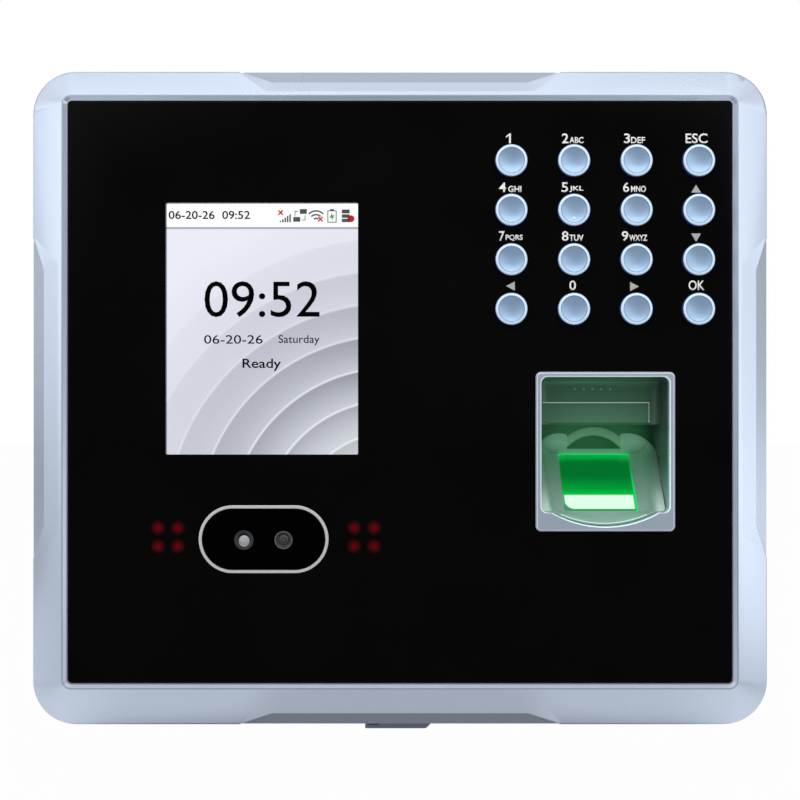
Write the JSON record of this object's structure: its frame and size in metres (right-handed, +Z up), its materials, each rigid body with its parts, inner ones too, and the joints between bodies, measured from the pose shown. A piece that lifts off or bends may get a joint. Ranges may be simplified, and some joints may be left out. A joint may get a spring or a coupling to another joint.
{
  "type": "fingerprint scanner terminal",
  "caption": "Wall-mounted access terminal with a screen, a keypad, two camera lenses and a finger reader in a sloped well.",
  "frame": {"origin": "middle of the wall plate's four screw holes, in the plane of the wall", "axes": "+X right as seen from in front, +Y into the wall, +Z up; the screen and keys face -Y"},
  "size_m": [0.168, 0.0328, 0.1534],
  "materials": {
    "silver_case": "satin silver-blue paint on moulded plastic",
    "rear_case": "fine-textured grey moulding",
    "panel_black": "gloss black face",
    "window_clear": "clear pane",
    "window_dark": "dark tinted pane",
    "bright_trim": "bright trim line",
    "reader_trim": "satin silver trim",
    "reader_well": "satin grey moulding",
    "platen_glass": "polished glass block lit green",
    "key_silver": "satin silver key",
    "chassis_black": "black moulding",
    "silicone": "soft silicone",
    "tape": "black adhesive foam",
    "lens_glass": "small lens",
    "display_glass": "display glass",
    "display_tray": "pressed tray and ribbon",
    "circuit_board": "green circuit board",
    "components": "chips and shield can",
    "socket_black": "black socket body",
    "terminal_green": "green wire clamps",
    "plated_steel": "zinc-plated steel",
    "battery_wrap": "shrink-wrapped cell",
    "plunger_white": "white plunger",
    "plate_steel": "zinc-grey coated sheet steel"
  },
  "bodies": {
    "terminal": {"front_housing": "silver_case", "rear_housing": "rear_case", "front_panel": "panel_black", "display_window": "window_clear", "camera_window": "window_dark", "camera_ring": "bright_trim", "finger_bezel": "reader_trim", "finger_well": "reader_well", "platen_frame": "reader_well", "platen": "platen_glass", "chassis": "chassis_black", "camera_bracket": "chassis_black", "camera_barrels": "chassis_black", "sensor_module": "chassis_black", "speaker": "chassis_black", "tamper_switch": "chassis_black", "keypad_mat": "silicone", "panel_tape": "tape", "camera_glasses": "lens_glass", "infrared_leds": "lens_glass", "display_glass": "display_glass", "display_backlight": "display_tray", "display_ribbon": "display_tray", "keypad_board": "circuit_board", "camera_board": "circuit_board", "infrared_boards": "circuit_board", "sensor_board": "circuit_board", "main_board": "circuit_board", "board_components": "components", "network_socket": "socket_black", "terminal_blocks": "terminal_green", "usb_socket": "plated_steel", "usb_cover_pin": "plated_steel", "lock_screw": "plated_steel", "case_screws": "plated_steel", "small_screws": "plated_steel", "backup_battery": "battery_wrap", "wall_plate": "plate_steel"},
    "key_1": {"key_1": "key_silver"},
    "key_2": {"key_2": "key_silver"},
    "key_3": {"key_3": "key_silver"},
    "key_escape": {"key_escape": "key_silver"},
    "key_4": {"key_4": "key_silver"},
    "key_5": {"key_5": "key_silver"},
    "key_6": {"key_6": "key_silver"},
    "key_up": {"key_up": "key_silver"},
    "key_7": {"key_7": "key_silver"},
    "key_8": {"key_8": "key_silver"},
    "key_9": {"key_9": "key_silver"},
    "key_down": {"key_down": "key_silver"},
    "key_left": {"key_left": "key_silver"},
    "key_0": {"key_0": "key_silver"},
    "key_right": {"key_right": "key_silver"},
    "key_ok": {"key_ok": "key_silver"},
    "usb_cover": {"usb_cover": "rear_case"},
    "tamper_plunger": {"tamper_plunger": "plunger_white"}
  },
  "joints": [
    {"name": "key_1_press", "type": "slide", "parent": "terminal", "child": "key_1", "axis": [0, 1, 0], "range_m": [0, 0.001], "stiffness_N_per_m": 700, "springref_m": -0.001, "deforming": ["keypad_mat"]},
    {"name": "key_2_press", "type": "slide", "parent": "terminal", "child": "key_2", "axis": [0, 1, 0], "range_m": [0, 0.001], "stiffness_N_per_m": 700, "springref_m": -0.001},
    {"name": "key_3_press", "type": "slide", "parent": "terminal", "child": "key_3", "axis": [0, 1, 0], "range_m": [0, 0.001], "stiffness_N_per_m": 700, "springref_m": -0.001},
    {"name": "key_escape_press", "type": "slide", "parent": "terminal", "child": "key_escape", "axis": [0, 1, 0], "range_m": [0, 0.001], "stiffness_N_per_m": 700, "springref_m": -0.001},
    {"name": "key_4_press", "type": "slide", "parent": "terminal", "child": "key_4", "axis": [0, 1, 0], "range_m": [0, 0.001], "stiffness_N_per_m": 700, "springref_m": -0.001},
    {"name": "key_5_press", "type": "slide", "parent": "terminal", "child": "key_5", "axis": [0, 1, 0], "range_m": [0, 0.001], "stiffness_N_per_m": 700, "springref_m": -0.001},
    {"name": "key_6_press", "type": "slide", "parent": "terminal", "child": "key_6", "axis": [0, 1, 0], "range_m": [0, 0.001], "stiffness_N_per_m": 700, "springref_m": -0.001},
    {"name": "key_up_press", "type": "slide", "parent": "terminal", "child": "key_up", "axis": [0, 1, 0], "range_m": [0, 0.001], "stiffness_N_per_m": 700, "springref_m": -0.001},
    {"name": "key_7_press", "type": "slide", "parent": "terminal", "child": "key_7", "axis": [0, 1, 0], "range_m": [0, 0.001], "stiffness_N_per_m": 700, "springref_m": -0.001},
    {"name": "key_8_press", "type": "slide", "parent": "terminal", "child": "key_8", "axis": [0, 1, 0], "range_m": [0, 0.001], "stiffness_N_per_m": 700, "springref_m": -0.001},
    {"name": "key_9_press", "type": "slide", "parent": "terminal", "child": "key_9", "axis": [0, 1, 0], "range_m": [0, 0.001], "stiffness_N_per_m": 700, "springref_m": -0.001},
    {"name": "key_down_press", "type": "slide", "parent": "terminal", "child": "key_down", "axis": [0, 1, 0], "range_m": [0, 0.001], "stiffness_N_per_m": 700, "springref_m": -0.001},
    {"name": "key_left_press", "type": "slide", "parent": "terminal", "child": "key_left", "axis": [0, 1, 0], "range_m": [0, 0.001], "stiffness_N_per_m": 700, "springref_m": -0.001},
    {"name": "key_0_press", "type": "slide", "parent": "terminal", "child": "key_0", "axis": [0, 1, 0], "range_m": [0, 0.001], "stiffness_N_per_m": 700, "springref_m": -0.001},
    {"name": "key_right_press", "type": "slide", "parent": "terminal", "child": "key_right", "axis": [0, 1, 0], "range_m": [0, 0.001], "stiffness_N_per_m": 700, "springref_m": -0.001},
    {"name": "key_ok_press", "type": "slide", "parent": "terminal", "child": "key_ok", "axis": [0, 1, 0], "range_m": [0, 0.001], "stiffness_N_per_m": 700, "springref_m": -0.001},
    {"name": "usb_cover_hinge", "type": "hinge", "parent": "terminal", "child": "usb_cover", "pos_m": [-0.0069, -0.013, -0.0759], "axis": [0, 1, 0], "range_deg": [0, 100]},
    {"name": "tamper_plunger_slide", "type": "slide", "parent": "terminal", "child": "tamper_plunger", "axis": [0, 1, 0], "range_m": [0, 0.0015], "stiffness_N_per_m": 120}
  ]
}
